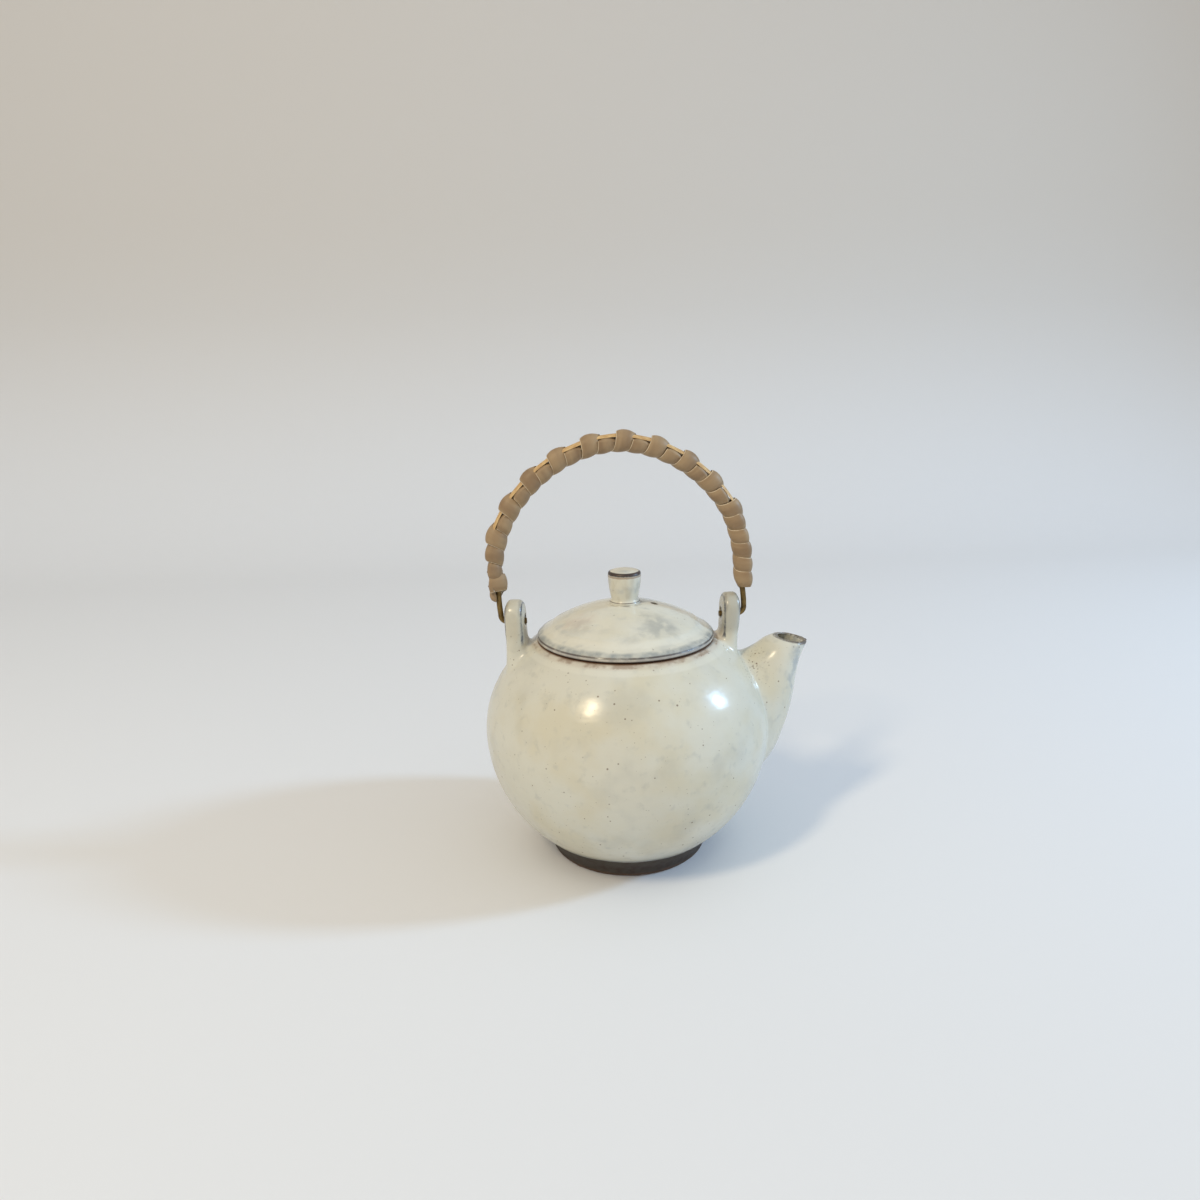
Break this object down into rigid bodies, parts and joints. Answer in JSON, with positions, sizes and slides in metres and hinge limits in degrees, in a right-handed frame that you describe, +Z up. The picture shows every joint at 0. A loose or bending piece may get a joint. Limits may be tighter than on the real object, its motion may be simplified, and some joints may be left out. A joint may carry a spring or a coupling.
{
  "type": "teapot",
  "caption": "Round stoneware teapot with a low side spout, a lid with a knob, and a strip-wound wire bail that swings in two lugs.",
  "frame": {"origin": "on the table, under the middle of the part's length; the pot's own axis is 9.15 mm towards -X of it", "axes": "+Z up, +X towards the spout, Y across; the bail stands in the XZ plane"},
  "size_m": [0.1442, 0.126, 0.1882],
  "materials": {
    "pot_glaze": "glossy cream glaze with iron speckles over dark stoneware, bare at the foot",
    "lid_glaze": "glossy cream glaze, mottled grey, breaking to brown at its edges",
    "wire_brass": "dull, olive-brown",
    "core_cane": "raw",
    "leader_cane": "smooth straw-coloured skin",
    "wrap_strip": "semi-matte taupe-tan"
  },
  "bodies": {
    "pot": {"pot": "pot_glaze"},
    "lid": {"lid": "lid_glaze"},
    "handle": {"handle_wire": "wire_brass", "core_cane_front": "core_cane", "core_cane_back": "core_cane", "leader_cane": "leader_cane", "wrap_strip": "wrap_strip"}
  },
  "joints": [
    {"name": "lid_lift", "type": "slide", "parent": "pot", "child": "lid", "axis": [0, 0, 1], "range_m": [0, 0.045]},
    {"name": "handle_swing", "type": "hinge", "parent": "pot", "child": "handle", "pos_m": [-0.00915, 0, 0.107], "axis": [1, 0, 0], "range_deg": [-115, 115]}
  ]
}
